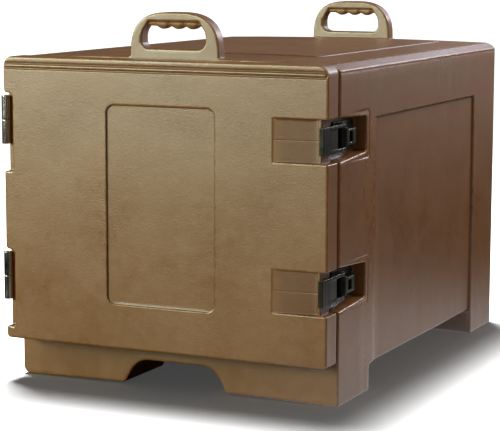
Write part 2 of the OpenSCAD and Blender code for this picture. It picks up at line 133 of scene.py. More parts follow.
class Field:
    """A sampled distance field, changed in boxes, and turned into a mesh."""

    def __init__(self, lo, hi, h, steps=None):
        """h is the voxel; steps gives an axis its own spacing, as (from, spacing) pairs."""
        self.h = h
        self.ax = []
        for i in range(3):
            if steps and steps[i]:
                out = [float(lo[i])]
                for j, (a, st) in enumerate(steps[i]):
                    b = steps[i][j + 1][0] if j + 1 < len(steps[i]) else hi[i]
                    n = max(1, int(round((b - out[-1]) / st)))
                    out += list(np.linspace(out[-1], b, n + 1)[1:])
                self.ax.append(np.array(out, F))
            else:
                n = int(math.ceil((hi[i] - lo[i]) / h)) + 1
                self.ax.append((lo[i] + h * np.arange(n)).astype(F))
        self.n = [len(a) for a in self.ax]
        self.band = 3 * max(float(np.diff(a).max()) for a in self.ax)
        self.d = np.full(self.n, 40.0, F)

    def part(self, lo=None, hi=None):
        sl = []
        for i in range(3):
            a, b = 0, self.n[i]
            if lo is not None:
                a = max(0, int(np.searchsorted(self.ax[i], lo[i])) - 1)
                b = min(self.n[i], int(np.searchsorted(self.ax[i], hi[i])) + 1)
            sl.append(slice(a, b))
        X = self.ax[0][sl[0]][:, None, None]
        Y = self.ax[1][sl[1]][None, :, None]
        Z = self.ax[2][sl[2]][None, None, :]
        return tuple(sl), X, Y, Z

    def do(self, kind, fn, r=0.0, lo=None, hi=None):
        sl, X, Y, Z = self.part(lo, hi)
        if 0 in self.d[sl].shape:
            return
        e = fn(X, Y, Z)
        v = self.d[sl]
        self.d[sl] = (union if kind == "+" else diff if kind == "-" else inter)(v, e, r).astype(F)

    def sample(self, p):
        q = np.stack([np.interp(p[:, k], self.ax[k], np.arange(self.n[k])) for k in range(3)], axis=1)
        i = np.clip(np.floor(q).astype(int), 0, np.array(self.n) - 2)
        f = np.clip(q - i, 0, 1).astype(F)
        x, y, z = i.T
        fx, fy, fz = f.T
        d = self.d
        c00 = d[x, y, z] * (1 - fx) + d[x + 1, y, z] * fx
        c10 = d[x, y + 1, z] * (1 - fx) + d[x + 1, y + 1, z] * fx
        c01 = d[x, y, z + 1] * (1 - fx) + d[x + 1, y, z + 1] * fx
        c11 = d[x, y + 1, z + 1] * (1 - fx) + d[x + 1, y + 1, z + 1] * fx
        c0 = c00 * (1 - fy) + c10 * fy
        c1 = c01 * (1 - fy) + c11 * fy
        return c0 * (1 - fz) + c1 * fz

    def grad(self, p, e):
        g = np.empty((len(p), 3))
        for k in range(3):
            o = np.zeros(3)
            o[k] = e
            g[:, k] = self.sample(p + o) - self.sample(p - o)
        return g / np.maximum(np.linalg.norm(g, axis=1, keepdims=True), 1e-9)

    def mesh(self, name, adapt=0.004):
        h = self.h
        g = vdb.FloatGrid(self.band)
        g.copyFromArray(np.clip(self.d, -self.band, self.band))
        pts, tris, quads = g.convertToPolygons(isovalue=0.0, adaptivity=adapt)
        p = np.stack([np.interp(pts[:, k], np.arange(self.n[k]), self.ax[k]) for k in range(3)], axis=1)
        for _ in range(2):
            nrm = self.grad(p, 0.5 * h)
            p = p - nrm * np.clip(self.sample(p), -0.5 * h, 0.5 * h)[:, None]
        nrm = self.grad(p, 0.75 * h)
        s = 2.5
        k = -6 * self.sample(p)
        for j in range(3):
            o = np.zeros(3)
            o[j] = s
            k += self.sample(p + o) + self.sample(p - o)
        curv = (k / (s * s)).astype(F)
        faces = [q[::-1] for q in quads.tolist()] + [t[::-1] for t in tris.tolist()]
        m = bpy.data.meshes.new(name)
        m.from_pydata(((p + SHIFT) / 1000).tolist(), [], faces)
        m.validate(clean_customdata=False)
        m.update()
        # the faces turn outwards
        v = np.array([m.vertices[i].co[:] for i in m.polygons[0].vertices])
        fn = np.array(m.polygons[0].normal)
        if fn @ nrm[m.polygons[0].vertices[0]] < 0:
            m.flip_normals()
        a = m.attributes.new("edge", "FLOAT", "POINT")
        a.data.foreach_set("value", curv)
        m.polygons.foreach_set("use_smooth", [True] * len(m.polygons))
        m.normals_split_custom_set_from_vertices(nrm.tolist())
        o = bpy.data.objects.new(name, m)
        bpy.context.scene.collection.objects.link(o)
        return o


# ------------------------------------------------------------------ the body moulding


def crown(x):
    return 3.5 * (1 - np.clip(np.abs(x) / 276.0, 0, 1) ** 2)


def handle(f, y0, y1, cx=0.0):
    lo, hi = (-92, y0 - 10, 534), (92, y1 + 10, 622)
    ym = (y0 + y1) / 2
    outer = superellipse(cx, TOP + 0.5, 79.5, 74.5, 2.9, 120)

    def loop(X, Y, Z):
        o2 = poly(X[:, 0], Z[0], outer)[:, None, :]
        return ext(o2, slab(Y, y0, y1), 2.6)

    def gap(X, Y, Z):
        # straight foot with round corners, sides that lean in towards the bar
        pts = [(-58.5, 562), (-58.5, 577), (-56.5, 585), (-46.5, 600.5), (43.5, 600.5), (54, 585), (56, 577), (56, 562), (56, 556), (-58.5, 556)]
        h2 = poly(X[:, 0], Z[0], [(cx + u, v) for u, v in pts]) + 0.0
        h2 = inter(h2, rbox(X[:, 0], Z[0], cx - 58.5, cx + 56, 556, 640, 13), 0)
        return np.broadcast_to(h2[:, None, :], (X.shape[0], Y.shape[1], Z.shape[2]))

    def rib(X, Y, Z):
        r2 = rbox(X, Z, cx - 50, cx + 47, 592.5, 606, 2)
        r = ext(r2, slab(Y, ym - 8.5, ym + 8.5), 4)
        for x in (-22.5, 4, 29.5):
            c2 = hyp(X - (cx + x), Z - 598.6) - 10.8
            r = union(r, ext(c2, slab(Y, ym - 9, ym + 9), 4.5), 4)
        return r

    # the loop joins the top with a small fillet, but stays flush with the front
    sl, X, Y, Z = f.part(lo, hi)
    d = f.d[sl]
    e = loop(X, Y, Z)
    e = np.where(Z < TOP - 3, np.maximum(e, TOP - 3 - Z), e)
    e = diff(e, gap(X, Y, Z), 2.2)
    e = union(e, rib(X, Y, Z), 2.5)
    u = union(d, e, 3.5)
    f.d[sl] = np.maximum(u, BODY_Y - Y).astype(F)


LONG_GAP = [(-108, -30), (-108, 0), (-100, 0.6), (-94.5, 2.8), (-90.5, 7), (-87.5, 13), (-84, 20), (-79.5, 27), (-73.5, 34),
            (-66.5, 39.5), (-58, 43), (-50, 44), (50, 44), (58, 43), (66.5, 39.5), (73.5, 34), (79.5, 27), (84, 20), (87.5, 13),
            (90.5, 7), (94.5, 2.8), (100, 0.6), (108, 0), (108, -30)]


def latch_outline(Y, Z, z):
    pts = [(0, z - 38), (BODY_Y, z - 35), (160, z - 28.5), (163, z - 25.5), (163, z + 27.5), (162, z + 28.5), (BODY_Y, z + 35), (0, z + 38)]
    return poly(Y, Z, pts)


def build_body():
    f = Field((-297, 43, -6), (297, 844, 623), 1.5, (
        ((-297, 1.0), (-258, 1.6), (-210, 3.0), (-96, 1.25), (96, 3.0), (210, 1.6), (258, 1.0)),
        ((43, 1.0), (82, 2.5), (150, 1.0), (178, 1.4), (230, 4.0), (690, 1.0), (710, 2.5), (772, 1.5), (800, 1.25)),
        ((-6, 1.25), (52, 2.5), (144, 1.2), (232, 2.5), (380, 1.2), (466, 2.0), (526, 1.0))))
    _, X, Y, Z = f.part()
    zc = Z - crown(X)                                    # (n, 1, k)
    a2 = rbox(X, zc, -HW, HW, 0, TOP, (14, 3.5, 1, 1))
    # a sloping shoulder along both top edges
    a2 = inter(a2, ((np.abs(X) - (HW - 18.5)) * 10.8 + (zc - TOP) * 18.5) / math.hypot(10.8, 18.5), 1.8)
    f.d = ext(a2, slab(Y, BODY_Y, 960), 2.8).astype(F)
    b2 = rbox(X, Y, -HW, HW, -160, BACK_Y, 20.0)
    f.d = inter(f.d, np.broadcast_to(b2, f.d.shape), 1.5).astype(F)
    f.d = inter(f.d, rbox(Y, zc, -160, BACK_Y, -60, TOP, (0, 0, 0, 11)), 1.5).astype(F)
    c2 = rbox(Y, Z, -100, BACK_Y, 0, 800, (0, 12, 0, 0))
    f.d = np.maximum(f.d, c2)
    # low platform between the handles
    f.do("+", lambda X, Y, Z: ext(rbox(X, Y, -200, 195, 191, 776, 13), slab(Z - crown(X), 500, TOP + 1.8), 0.7), 0.6,
         (-215, 180, 535), (210, 790, 550))
    # a parting line under each shoulder
    for zz, rr, ss in ((526.6, 1.5, 1.3), (521.8, 0.7, 0.4)):
        for s in (-1, 1):
            f.do("-", lambda X, Y, Z: hyp(X * s - HW - 0.3, Z - zz) - rr + 0 * Y, ss, (min(s * 284, s * 297), 43, zz - 6), (max(s * 284, s * 297), 822, zz + 6))
    # side panels
    def recess(X, Y, Z):
        hf = (HW - 4.6 * smooth((Y - 192) / 36)) - np.abs(X)
        return inter(hf, rbox(Y, Z, 120, 703, -60, 447, (0, 0, 0, 5)), 0.6)
    for s in (-1, 1):
        lo, hi = (min(s * 276, s * 297), 150, -6), (max(s * 276, s * 297), 720, 462)
        f.do("-", recess, 0.8, lo, hi)
    # gaps under the body
    def gaps(X, Y, Z):
        g = poly(X[:, :, 0], Z[0], LONG_GAP)[:, None, :]
        c = rbox(Y, Z, 184, 703, -60, 44, (0, 0, 8, 8))
        return union(np.broadcast_to(g, (X.shape[0], Y.shape[1], Z.shape[2])), c, 0)
    f.do("-", gaps, 3.0, (-297, 43, -6), (297, 844, 56))
    for y0 in (BODY_Y, BACK_Y - 32):
        handle(f, y0, y0 + 24)
    # latch pockets, with a soft bevel round them
    for z in LATCH_Z:
        def bevel(X, Y, Z):
            # a shallow step all round, falling away from the pocket's mouth to a crisp outer edge
            o = rbox(Y, Z, -40, 175.5, z - 38.5, z + 38.5, (0, 8, 0, 8))
            t = (0.25 + 1.25 * smooth((Y - 70) / 90)) * (1 - 0.8 * np.clip(-o / 10.0, 0, 1))
            return inter(HW - t - X, o, 0.3)

        def pocket(X, Y, Z):
            return ext(latch_outline(Y[0], Z[0], z)[None] + 0.0, 266 - X, 2.0)
        f.do("-", bevel, 0.5, (262, 43, z - 56), (297, 190, z + 56))
        f.do("-", pocket, 3.2, (256, 43, z - 50), (297, 180, z))
        f.do("-", pocket, 1.2, (256, 43, z + 1), (297, 180, z + 50))
    # inside
    f.do("-", lambda X, Y, Z: ext(rbox(X, Z, -CAV, CAV, CAV_Z0, CAV_Z1, 18), slab(Y, -100, CAV_Y1), 12), 5.0,
         (-250, 43, 82), (250, 792, 501))
    for i in range(5):
        z = CAV_Z0 + 58 + 64 * i
        for s in (-1, 1):
            def rail(X, Y, Z):
                x = X * s
                r2 = poly(x[:, :, 0], Z[0], [(CAV + 6, z - 13), (CAV - 14, z - 5.5), (CAV - 16, z - 4), (CAV - 16, z - 1), (CAV - 15, z), (CAV + 6, z)])[:, None, :]
                return ext(r2, slab(Y, 81, CAV_Y1 + 6), 1.5)
            lo, hi = (min(s * 214, s * 244), 70, z - 24), (max(s * 214, s * 244), 790, z + 12)
            f.do("+", rail, 2.5, lo, hi)
    f.do("-", lambda X, Y, Z: ext(hyp(X, Y - (BACK_Y - 190)) - 13, slab(Z, 20, 52), 0.5), 1.0,
         (-24, 620, 38), (24, 672, 60))
    o = f.mesh("Body_Moulding")
    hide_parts("body_shell", "body_handle_front", "body_handle_rear", "body_feet", "body_pan_ledges")
    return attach(o, "body")


# ------------------------------------------------------------------ the door moulding


def gasket_line(X, Z):
    return rbox(X, Z, -CAV, CAV, CAV_Z0, CAV_Z1, 18)


def build_door():
    f = Field((-296, -5, 65), (296, 68, 547), 1.0)
    _, X, Y, Z = f.part()
    a2 = rbox(X, Z, -HW, HW, DOOR_Z0, DOOR_Z1, (7, 5, 17, 17))
    f.d = inter(ext(a2, slab(Y, 0, 90), 3.0), Y - DOOR_T, 1.2).astype(F)
    f.do("+", lambda X, Y, Z: ext(rbox(X, Z, -CAV + 7, CAV - 7, CAV_Z0 + 4.5, CAV_Z1 - 5, 16), slab(Y, 25, 62), 6), 4.0)
    f.do("-", lambda X, Y, Z: ext(slab(gasket_line(X, Z), 6, 17), slab(Y, 38, 60), 0.3), 0.8, (-270, 30, 65), (270, 50, 520))
    # sunk panel
    f.do("-", lambda X, Y, Z: ext(rbox(X, Z, -97, 97, CZ - 162, CZ + 162, 14), slab(Y, -40, 3.2), 0.4), 0.5,
         (-110, -5, CZ - 175), (110, 12, CZ + 175))
    # bead between two grooves
    def groove(X, Y, Z):
        r = rbox(X, Z, -286.5, 287, 521.7, 529.2, 3.7)
        return hyp(r, Y + 0.3) - 2.2
    f.do("-", groove, 0.3, (-296, -5, 512), (296, 8, 540))
    def bead(X, Y, Z):
        c = hyp(hyp(pos(np.abs(X) - 283), Z - 525.45), Y - 2.2) - 3.0
        return c
    f.do("+", bead, 0.4, (-296, -5, 516), (296, 8, 536))
    # scoops with the keeper ridges
    for z in LATCH_Z:
        def scoop(X, Y, Z):
            p2 = poly(X[:, :, 0], Y[0, :, 0][None, :], [(197, -40), (197, 0.6), (200, 1.1), (262, 8.6), (268, 9.0), (269.5, 8.4), (270.3, 5.6), (271.5, 5),
                                                    (276.5, 5), (276.5, 90), (330, 90), (330, -40)])[:, :, None]
            return ext(p2, slab(Z, z - 34.3, z + 34.3), 0.8)
        f.do("-", scoop, 1.8, (185, -5, z - 44), (296, 50, z))
        f.do("-", scoop, 1.0, (185, -5, z + 1), (296, 50, z + 44))
    # hinge notches, and the relief beside the body's hinge leaf
    for z in HINGE_Z:
        def notch(X, Y, Z):
            o2 = rbox(X, Z, -340, -HW + 17, z - 85, z + 45, (0, 4, 0, 9))
            corner = inter(rbox(X, Z, -340, -HW + 7, z + 38, z + 52), 7 - hyp(X + HW - 7, Z - z - 52), 0)
            return ext(union(o2, corner), slab(Y, -40, 15.5), 1.0)
        f.do("-", notch, 1.6, (-296, -5, z - 95), (-262, 26, z + 56))
        f.do("-", lambda X, Y, Z: ext(rbox(X, Z, -340, -HW + 1.3, z - 85, z + 0.4, 1), slab(Y, 0, 90), 0), 0.5,
             (-296, 0, z - 95), (-280, 50, z + 8))
    # where the foam was let in
    f.do("+", lambda X, Y, Z: ext(hyp(X, Z - (CAV_Z0 + 34.5)) - 13, slab(Y, 58, 64.5), 1.2), 0.6,
         (-24, 52, CAV_Z0 + 12), (24, 68, CAV_Z0 + 60))
    o = f.mesh("Door_Moulding")
    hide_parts("door_shell", "door_fill_plug")
    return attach(o, "door")


def build_gasket():
    f = Field((-262, 35, 70), (262, 53, 513), 1.0)
    _, X, Y, Z = f.part()
    g = gasket_line(X, Z)
    f.d = ext(slab(g, 6.3, 16.7), slab(Y, 38.2, 42.6), 0.8).astype(F)
    f.d = union(f.d, hyp(g - 11.5, Y - 46.0) - 4.6, 1.0).astype(F)
    o = f.mesh("Door_Gasket")
    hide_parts("door_gasket")
    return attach(o, "door")


# ------------------------------------------------------------------ latches


def build_lever(z0, name, node, body):
    px = HW - 6.8
    f = Field((262, -2, z0 - 26), (286, 104, z0 + 26), 0.7)
    _, X, Y, Z = f.part()
    Zc = Z - z0
    def plan(pts):
        return poly(X[:, :, 0], Y[0, :, 0][None, :], pts)[:, :, None]
    lip = plan([(px - 8.8, 1.8), (px - 0.5, 1.8), (px, 2.3), (px, 16), (px - 3, 16), (px - 3, 4.8), (px - 8.8, 4.8)])
    f.d = ext(lip, np.abs(Zc) - 21.5, 0.5).astype(F)
    plate = plan([(px - 3, 12), (px, 12), (px + 0.6, 30), (px, 57), (px - 3, 57)])
    f.d = union(f.d, ext(plate, np.abs(Zc) - 21.5, 0.8), 0.6).astype(F)
    arm = plan([(px, 26), (px, LATCH_Y - 2), (LATCH_X + 3, LATCH_Y + 7.4), (LATCH_X, LATCH_Y + 8), (LATCH_X - 5.6, LATCH_Y + 5.7),
                (LATCH_X - 8, LATCH_Y), (LATCH_X - 7, LATCH_Y - 12), (px - 9, 51), (px - 3, 44), (px - 3, 26)])
    arms = ext(arm, slab(np.abs(Zc), 16.0, 21.5), 1.0)
    f.d = union(f.d, arms, 1.2).astype(F)
    rib = plan([(px - 7, 47), (px - 1, 47), (px - 1, 56), (px - 7, 56)])
    f.d = union(f.d, ext(rib, np.abs(Zc) - 19.0, 0.8), 1.0).astype(F)
    f.d = diff(f.d, hyp(X - LATCH_X, Y - LATCH_Y) - 2.85, 0.1).astype(F)
    o = f.mesh(name, 0.002)
    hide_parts(node)
    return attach(o, body)


def build_base(z0, name, node):
    f = Field((262, 60, z0 - 28), (288, 154, z0 + 28), 0.7)
    _, X, Y, Z = f.part()
    Zc = Z - z0
    f.d = ext(rbox(Y, Zc, BODY_Y + 14, BODY_Y + 99, -25, 25, 4.5), slab(X, 266.1, 270), 0.9).astype(F)
    block = ext(rbox(X, Y, 264, HW - 5, LATCH_Y, LATCH_Y + 37, (0, 3, 0, 3)), np.abs(Zc) - 12.7, 1.2)
    f.d = union(f.d, np.maximum(block, 266.1 - X), 2.0).astype(F)
    k2 = union(hyp(X - LATCH_X, Y - LATCH_Y) - 8.0, rbox(X, Y, 267, LATCH_X, LATCH_Y - 8, LATCH_Y + 2, 0.5))
    f.d = union(f.d, ext(k2, np.abs(Zc) - 15.6, 0.9), 0.8).astype(F)
    f.d = diff(f.d, hyp(X - LATCH_X, Y - LATCH_Y) - 2.5, 0.2).astype(F)
    f.d = diff(f.d, ext(rbox(Y, Zc, LATCH_Y + 9.3, LATCH_Y + 12.7, -6, 6, 1.2), (LATCH_X + 3) - X, 0.3), 0.5).astype(F)
    f.d = diff(f.d, ext(rbox(Y, Zc, LATCH_Y + 9, LATCH_Y + 23, -8.5, 8.5, 2.5), (HW - 11) - X, 0.4), 0.6).astype(F)
    for y in (BODY_Y + 21, BODY_Y + 92):
        for k in (-1, 1):
            f.d = diff(f.d, hyp(Y - y, Zc - k * 19) - 2.3 + 0 * X, 0.2).astype(F)
    o = f.mesh(name, 0.002)
    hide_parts(node)
    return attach(o, "body")


# ------------------------------------------------------------------ hinges


def build_leaf(z, name, node, body, door):
    L, t = 39.5, 2.5
    if door:
        z0, z1, y1, rows, hole = z + 0.5, z + 0.5 + L, DOOR_T - 2, (DOOR_T - 12.5,), 3.55
        pz0, pz1 = z + 2.5, z - 1.5 + L
    else:
        z0, z1, y1, rows, hole = z - 0.5 - L, z - 0.5, 114, (74, 100), 3.5
        pz0, pz1 = z + 1.5 - L, z - 2.5
    f = Field((-299, -2, z0 - 3), (-280, y1 + 3, z1 + 3), 0.6)
    _, X, Y, Z = f.part()
    f.d = ext(hyp(X - HINGE_X, Y - HINGE_Y) - 7.0, slab(Z, z0, z1), 0.8).astype(F)
    plate = ext(rbox(Y, Z, HINGE_Y - 2, y1, pz0, pz1, (0.5, 4, 0.5, 4)), slab(X, -HW - t, -HW), 0.7)
    f.d = union(f.d, plate, 1.2).astype(F)
    f.d = np.maximum(f.d, np.where(Y > 16, X + HW, -50)).astype(F)
    f.d = diff(f.d, ext(hyp(X - HINGE_X, Y - HINGE_Y) - hole, slab(Z, z0 - 3, z1 + 3), 0), 0.4).astype(F)
    # the seam where the sheet closes on itself
    f.d = diff(f.d, ext(rbox(X, Y, HINGE_X + 3.0, HINGE_X + 9, HINGE_Y - 0.35, HINGE_Y + 0.35, 0), slab(Z, z0 - 3, z1 + 3), 0), 0.2).astype(F)
    for y in rows:
        for k in (-1, 1):
            zz = (z0 + z1) / 2 + k * 9.5
            f.d = diff(f.d, hyp(Y - y, Z - zz) - 2.3 + 0 * X, 0.3).astype(F)
    o = f.mesh(name, 0.002)
    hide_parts(node)
    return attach(o, body)


# ------------------------------------------------------------------ materials


def new_mat(name):
    m = bpy.data.materials.new(name)
    m.use_nodes = True
    nt = m.node_tree
    nt.nodes.clear()
    out = nt.nodes.new("ShaderNodeOutputMaterial")
    b = nt.nodes.new("ShaderNodeBsdfPrincipled")
    nt.links.new(b.outputs[0], out.inputs[0])
    return m, nt, b


def noise(nt, co, scale, detail=2.0, rough=0.5):
    n = nt.nodes.new("ShaderNodeTexNoise")
    n.inputs["Scale"].default_value = scale
    n.inputs["Detail"].default_value = detail
    n.inputs["Roughness"].default_value = rough
    nt.links.new(co, n.inputs["Vector"])
    return n.outputs["Fac"]


def ramp(nt, fac, stops):
    r = nt.nodes.new("ShaderNodeValToRGB")
    el = r.color_ramp.elements
    while len(el) > 1:
        el.remove(el[-1])
    for i, (p, c) in enumerate(stops):
        e = el[0] if i == 0 else el.new(p)
        e.position = p
        e.color = (c[0], c[1], c[2], 1) if isinstance(c, (tuple, list)) else (c, c, c, 1)
    nt.links.new(fac, r.inputs[0])
    return r.outputs[0]


def mapr(nt, v, a, b, c, d):
    n = nt.nodes.new("ShaderNodeMapRange")
    for k, x in zip(("From Min", "From Max", "To Min", "To Max"), (a, b, c, d)):
        n.inputs[k].default_value = x
    nt.links.new(v, n.inputs["Value"])
    return n.outputs[0]


def math_(nt, op, a, b):
    n = nt.nodes.new("ShaderNodeMath")
    n.operation = op
    for i, v in enumerate((a, b)):
        if isinstance(v, (int, float)):
            n.inputs[i].default_value = v
        else:
            nt.links.new(v, n.inputs[i])
    return n.outputs[0]


def mix(nt, fac, a, b, mode="MIX"):
    n = nt.nodes.new("ShaderNodeMix")
    n.data_type = "RGBA"
    n.blend_type = mode
    if isinstance(fac, (int, float)):
        n.inputs[0].default_value = fac
    else:
        nt.links.new(fac, n.inputs[0])
    for i, v in ((6, a), (7, b)):
        if isinstance(v, (tuple, list)):
            n.inputs[i].default_value = (v[0], v[1], v[2], 1)
        else:
            nt.links.new(v, n.inputs[i])
    return n.outputs[2]


def bump(nt, h, strength, dist, normal=None):
    n = nt.nodes.new("ShaderNodeBump")
    n.inputs["Strength"].default_value = strength
    n.inputs["Distance"].default_value = dist
    nt.links.new(h, n.inputs["Height"])
    if normal is not None:
        nt.links.new(normal, n.inputs["Normal"])
    return n.outputs[0]


def objco(nt):
    return nt.nodes.new("ShaderNodeTexCoord").outputs["Object"]


def moulded(name, base, dark, light, rough=0.32, spec=1.0):
    """Rotomoulded polyethylene: pebbled skin, faint mottling, rubbed edges, small specks and scuffs; painted shade in
    hollows and creases (partly grime) and in the door's two latch scoops.
    """
    m, nt, b = new_mat(name)
    co = objco(nt)
    big = noise(nt, co, 9.0, 3.0, 0.55)
    mid = noise(nt, co, 60.0, 4.0, 0.6)
    peb = noise(nt, co, 520.0, 3.0, 0.55)
    fine = noise(nt, co, 1400.0, 2.0, 0.5)
    speck = noise(nt, co, 330.0, 1.0, 0.4)
    c = ramp(nt, big, [(0.30, dark), (0.52, base), (0.75, light)])
    c = mix(nt, mapr(nt, mid, 0.35, 0.7, 0.0, 0.35), c, light)
    c = mix(nt, mapr(nt, peb, 0.35, 0.75, 0.0, 0.32), c, tuple(x * 0.8 for x in dark))
    c = mix(nt, mapr(nt, speck, 0.71, 0.78, 0.0, 0.35), c, tuple(x * 0.45 for x in dark))
    at = nt.nodes.new("ShaderNodeAttribute")
    at.attribute_name = "edge"
    worn = math_(nt, "MULTIPLY", mapr(nt, at.outputs["Fac"], 0.10, 0.42, 0.0, 1.0), mapr(nt, mid, 0.35, 0.62, 0.1, 0.8))
    c = mix(nt, math_(nt, "MULTIPLY", worn, 0.42), c, tuple(min(1, x * 1.9) for x in light))
    # darker in hollows and creases, where the surface curves inwards: partly grime, partly painted shade
    hollow_grime_and_shade = mapr(nt, at.outputs["Fac"], -0.10, -0.45, 0.0, 0.6)
    c = mix(nt, hollow_grime_and_shade, c, tuple(x * 0.35 for x in dark))
    # painted shade: the door's two latch scoops are darkened in the colour to stand in for shade, and made duller than
    # the face around them
    so = nt.nodes.new("ShaderNodeSeparateXYZ")
    nt.links.new(co, so.inputs[0])
    near = math_(nt, "MINIMUM", math_(nt, "ABSOLUTE", math_(nt, "SUBTRACT", so.outputs[2], 0.42375), 0.0),
                 math_(nt, "ABSOLUTE", math_(nt, "SUBTRACT", so.outputs[2], 0.18775), 0.0))
    scoop_shade_and_dull = math_(nt, "MULTIPLY", mapr(nt, so.outputs[1], -0.4168, -0.4150, 0.0, 1.0), mapr(nt, so.outputs[1], -0.380, -0.376, 1.0, 0.0))
    scoop_shade_and_dull = math_(nt, "MULTIPLY", scoop_shade_and_dull, mapr(nt, near, 0.0350, 0.0362, 1.0, 0.0))
    scoop_shade_and_dull = math_(nt, "MULTIPLY", scoop_shade_and_dull, mapr(nt, so.outputs[0], 0.180, 0.186, 0.0, 1.0))
    scoop_shade_and_dull = math_(nt, "MULTIPLY", scoop_shade_and_dull, mapr(nt, mid, 0.3, 0.7, 0.55, 0.75))
    # the scoops' painted shade goes into the colour here
    c = mix(nt, scoop_shade_and_dull, c, (dark[0] * 0.66, dark[1] * 0.50, dark[2] * 0.2))
    nt.links.new(c, b.inputs["Base Color"])
    r = math_(nt, "ADD", mapr(nt, big, 0.3, 0.7, rough - 0.03, rough + 0.05), mapr(nt, mid, 0.3, 0.7, -0.03, 0.04))
    r = math_(nt, "ADD", r, mapr(nt, peb, 0.3, 0.7, -0.02, 0.03))
    r = math_(nt, "ADD", r, mapr(nt, at.outputs["Fac"], 0.08, 0.36, 0.0, -0.13))
    r = math_(nt, "ADD", r, math_(nt, "MULTIPLY", scoop_shade_and_dull, 0.12))
    nt.links.new(r, b.inputs["Roughness"])
    n1 = bump(nt, peb, 0.45, 0.0006)
    n2 = bump(nt, fine, 0.20, 0.0002, n1)
    n3 = bump(nt, big, 0.25, 0.004, n2)
    # long soft waves down the sides, where the moulding shrank on to its ribs
    tc, sp, mp = nt.nodes.new("ShaderNodeTexCoord"), nt.nodes.new("ShaderNodeSeparateXYZ"), nt.nodes.new("ShaderNodeMapping")
    mp.inputs["Scale"].default_value = (1.0, 1.0, 0.13)
    nt.links.new(co, mp.inputs["Vector"])
    nt.links.new(tc.outputs["Normal"], sp.inputs[0])
    side = math_(nt, "POWER", math_(nt, "ABSOLUTE", sp.outputs[0], 0.0), 4.0)
    wave = math_(nt, "MULTIPLY", noise(nt, mp.outputs[0], 24.0, 2.0, 0.5), side)
    n4 = bump(nt, wave, 0.22, 0.006, n3)
    nt.links.new(n4, b.inputs["Normal"])
    b.inputs["Specular IOR Level"].default_value = spec
    return m


def nylon_mat():
    m, nt, b = new_mat("Latch_Nylon")
    co = objco(nt)
    n1 = noise(nt, co, 90.0, 3.0)
    n2 = noise(nt, co, 900.0, 2.0)
    c = ramp(nt, n1, [(0.3, (0.0075, 0.0072, 0.0035)), (0.7, (0.013, 0.0125, 0.0065))])
    at = nt.nodes.new("ShaderNodeAttribute")
    at.attribute_name = "edge"
    c = mix(nt, mapr(nt, at.outputs["Fac"], 0.25, 0.8, 0.0, 0.35), c, (0.07, 0.07, 0.055))
    nt.links.new(c, b.inputs["Base Color"])
    nt.links.new(mapr(nt, n1, 0.3, 0.7, 0.24, 0.36), b.inputs["Roughness"])
    b.inputs["Specular IOR Level"].default_value = 0.32
    nt.links.new(bump(nt, n2, 0.08, 0.0002), b.inputs["Normal"])
    return m


def metal_mat(name, base, rough, aniso=False, scale=700.0):
    m, nt, b = new_mat(name)
    co = objco(nt)
    mp = nt.nodes.new("ShaderNodeMapping")
    mp.inputs["Scale"].default_value = (1.0, 1.0, 0.06)
    nt.links.new(co, mp.inputs["Vector"])
    brush = noise(nt, mp.outputs[0], scale, 3.0)
    smear = noise(nt, co, 45.0, 3.0)
    spot = noise(nt, co, 260.0, 2.0)
    c = ramp(nt, smear, [(0.3, tuple(x * 0.86 for x in base)), (0.7, base)])
    c = mix(nt, mapr(nt, spot, 0.66, 0.76, 0.0, 0.35), c, tuple(x * 0.5 for x in base))
    nt.links.new(c, b.inputs["Base Color"])
    b.inputs["Metallic"].default_value = 1.0
    r = math_(nt, "ADD", mapr(nt, smear, 0.3, 0.7, rough - 0.04, rough + 0.06), mapr(nt, brush, 0.3, 0.7, -0.03, 0.05))
    nt.links.new(r, b.inputs["Roughness"])
    nt.links.new(bump(nt, brush, 0.12, 0.0001), b.inputs["Normal"])
    return m


def rubber_mat():
    m, nt, b = new_mat("Seal_Rubber")
    co = objco(nt)
    n1 = noise(nt, co, 70.0, 3.0)
    n2 = noise(nt, co, 1200.0, 2.0)
    nt.links.new(ramp(nt, n1, [(0.3, (0.010, 0.009, 0.008)), (0.7, (0.022, 0.020, 0.018))]), b.inputs["Base Color"])
    nt.links.new(mapr(nt, n1, 0.3, 0.7, 0.55, 0.75), b.inputs["Roughness"])
    nt.links.new(bump(nt, n2, 0.3, 0.0002), b.inputs["Normal"])
    return m


def foam_mat():
    m, nt, b = new_mat("Core_Foam")
    co = objco(nt)
    v = nt.nodes.new("ShaderNodeTexVoronoi")
    v.inputs["Scale"].default_value = 600.0
    nt.links.new(co, v.inputs["Vector"])
    n1 = noise(nt, co, 20.0, 3.0)
    nt.links.new(ramp(nt, n1, [(0.3, (0.62, 0.50, 0.24)), (0.7, (0.74, 0.64, 0.38))]), b.inputs["Base Color"])
    nt.links.new(mapr(nt, n1, 0.3, 0.7, 0.85, 0.98), b.inputs["Roughness"])
    nt.links.new(bump(nt, v.outputs["Distance"], 0.6, 0.001), b.inputs["Normal"])
    return m


def put(o, m):
    o.data.materials.clear()
    o.data.materials.append(m)


body_o = build_body()
door_o = build_door()
gasket_o = build_gasket()
levers = [build_lever(LATCH_Z[0], "Latch_Lever_Upper", "latch_lever_upper", "latch_upper"),
          build_lever(LATCH_Z[1], "Latch_Lever_Lower", "latch_lever_lower", "latch_lower")]
bases = [build_base(LATCH_Z[0], "Latch_Base_Upper", "latch_base_upper"), build_base(LATCH_Z[1], "Latch_Base_Lower", "latch_base_lower")]
leaves = [build_leaf(HINGE_Z[0], "Hinge_Body_Upper", "hinge_leaf_body_upper", "body", False),
          build_leaf(HINGE_Z[1], "Hinge_Body_Lower", "hinge_leaf_body_lower", "body", False),
          build_leaf(HINGE_Z[0], "Hinge_Door_Upper", "hinge_leaf_door_upper", "door", True),
          build_leaf(HINGE_Z[1], "Hinge_Door_Lower", "hinge_leaf_door_lower", "door", True)]

